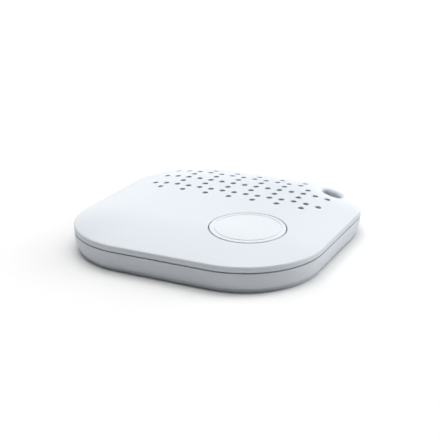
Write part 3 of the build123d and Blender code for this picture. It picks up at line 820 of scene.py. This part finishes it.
def clothTree(sizes, material):
    tree, given = newTree("meshWeave", sizes)
    double = calc(tree, "MULTIPLY", given["pitch"], 2.0)
    sets = put(tree, "GeometryNodeJoinGeometry")
    for turned, count, others in ((False, "columns", "rows"), (True, "rows", "columns")):
        for phase in (0, 1):
            strand = thread(tree, given, count, phase + turned)
            first = calc(tree, "MULTIPLY", given["pitch"], float(phase))
            strands = calc(tree, "SUBTRACT", given[others], phase)
            number = calc(tree, "CEIL", calc(tree, "MULTIPLY", strands, 0.5))
            if turned:
                start = {0: calc(tree, "ADD", given["left"], first), 1: given["front"]}
                stride = {0: double}
                inputs = {"Geometry": strand, "Rotation": (0.0, 0.0, pi / 2)}
                strand = put(tree, "GeometryNodeTransform", inputs).outputs[0]
            else:
                start = {0: given["left"], 1: calc(tree, "ADD", given["front"], first)}
                stride = {1: double}
            start = put(tree, "ShaderNodeCombineXYZ", start).outputs[0]
            stride = put(tree, "ShaderNodeCombineXYZ", stride).outputs[0]
            inputs = {"Count": number, "Start Location": start, "Offset": stride}
            line = put(tree, "GeometryNodeMeshLine", inputs, mode="OFFSET").outputs[0]
            laid = put(tree, "GeometryNodeInstanceOnPoints", {"Points": line, "Instance": strand}).outputs[0]
            tree.links.new(laid, sets.inputs[0])
    flat = put(tree, "GeometryNodeRealizeInstances", {"Geometry": sets.outputs[0]}).outputs[0]
    x, y, z = positions(tree)
    height = calc(tree, "ADD", z, crownField(tree, given, x, y, "clothArc"))
    draped = move(tree, flat, x, y, height)
    inputs = {"Vertices": tubeCorners, "Side Segments": 1, "Radius": 1.0, "Depth": given["slotCut"]}
    tube = put(tree, "GeometryNodeMeshCylinder", inputs, fill_type="NGON").outputs["Mesh"]
    x, y, z = positions(tree)
    along = calc(tree, "MULTIPLY", x, given["slotAlong"])
    tube = move(tree, tube, along, calc(tree, "MULTIPLY", y, given["slotAcross"]), z)
    tube = shift(tree, tube, given["slotPlace"], given["slotPlace"], slotTurn)
    closeTree(tree, boolean(tree, "DIFFERENCE", draped, [tube]), material)
    return tree


clothWeave = newObject("clothWeave")
grow(clothWeave, clothTree(cloth, finishes["mesh_cloth"]), cloth)
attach(clothWeave, "housing")
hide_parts("dust_mesh")
report(clothWeave)

# Solder joints: small tinned heaps at both ends of the parts that lie along the board's X
solder = {
    "boardTop": 2.7 * mm,
    "length": 0.34 * mm,
    "width": 0.42 * mm,
    "height": 0.26 * mm,
    "beyond": 0.04 * mm,
}
# each part's middle, half its length along X, and how far its pads lie to each side in Y
boardParts = [
    {"at": boardPlaces["antenna"], "reach": 1.6 * mm, "pads": (-0.4 * mm, 0.4 * mm)},
    {"at": boardPlaces["coil"], "reach": 1.5 * mm, "pads": (-0.6 * mm, 0.0, 0.6 * mm)},
    {"at": boardPlaces["bulkCapacitor"], "reach": 1.6 * mm, "pads": (-0.4 * mm, 0.4 * mm)},
    {"at": boardPlaces["mainCrystal"], "reach": 1.0 * mm, "pads": (-0.5 * mm, 0.5 * mm)},
    {"at": boardPlaces["clockCrystal"], "reach": 1.6 * mm, "pads": (-0.4 * mm, 0.4 * mm)},
]
smallParts = {"reach": 0.5 * mm, "capacitorColumns": 4, "capacitorAside": 3.45 * mm}


def smallPlaces(sizes):
    x, y = boardPlaces["capacitors"]
    aside = sizes["capacitorAside"]
    places = []
    for column in range(sizes["capacitorColumns"]):
        places += [(x + smallPitch * column, y - aside), (x + smallPitch * column, y + aside)]
    for x, y in (boardPlaces["leftResistor"], boardPlaces["rightResistor"]):
        places += [(x, y + smallPitch * row) for row in (-1, 0, 1)]
    return places


for place in smallPlaces(smallParts):
    boardParts.append({"at": place, "reach": smallParts["reach"], "pads": (0.0,)})


def solderPoints(sizes):
    points = []
    for part in boardParts:
        x, y = part["at"]
        for side in (-1, 1):
            for pad in part["pads"]:
                points.append((x + side * (part["reach"] + sizes["beyond"]), y + pad, sizes["boardTop"]))
    return points


def solderTree(sizes, material):
    tree, given = newTree("solderHeaps", sizes)
    ball = put(tree, "GeometryNodeMeshUVSphere", {"Segments": 10, "Rings": 5, "Radius": 0.5}).outputs["Mesh"]
    scale = {0: given["length"], 1: given["width"], 2: given["height"]}
    scale = put(tree, "ShaderNodeCombineXYZ", scale).outputs[0]
    heap = put(tree, "GeometryNodeTransform", {"Geometry": ball, "Scale": scale}).outputs[0]
    heap = put(tree, "GeometryNodeSetShadeSmooth", {"Geometry": heap}).outputs[0]
    points = {"Points": given["Geometry"], "Instance": heap}
    closeTree(tree, put(tree, "GeometryNodeInstanceOnPoints", points).outputs[0], material)
    return tree


solderMesh = bpy.data.meshes.new("solderJoints")
solderMesh.from_pydata(solderPoints(solder), [], [])
solderJoints = newObject("solderJoints", solderMesh)
grow(solderJoints, solderTree(solder, finishes["spring_steel"]), solder)
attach(solderJoints, "housing")
report(solderJoints)


# Studio: black surroundings and a pale floor
studio = {"floorHalf": 3.0, "floorTone": 0.745}
world = bpy.data.worlds.new("studio")
world.use_nodes = True
world.node_tree.nodes["Background"].inputs["Color"].default_value = (0, 0, 0, 1)
bpy.context.scene.world = world
bpy.context.scene.view_settings.view_transform = "Standard"

floorMesh = bpy.data.meshes.new("studioFloor")
half = studio["floorHalf"]
floorCorners = [(-half, -half, 0), (half, -half, 0), (half, half, 0), (-half, half, 0)]
floorMesh.from_pydata(floorCorners, [], [(0, 1, 2, 3)])
floor = newObject("studioFloor", floorMesh)
floorMaterial, _, floorShader = newMaterial("floorPaper")
floorShader.inputs["Base Color"].default_value = (*[studio["floorTone"]] * 3, 1)
floorShader.inputs["Roughness"].default_value = 1.0
floorShader.inputs["Specular IOR Level"].default_value = 0.0
floorMesh.materials.append(floorMaterial)
print("studio ready")
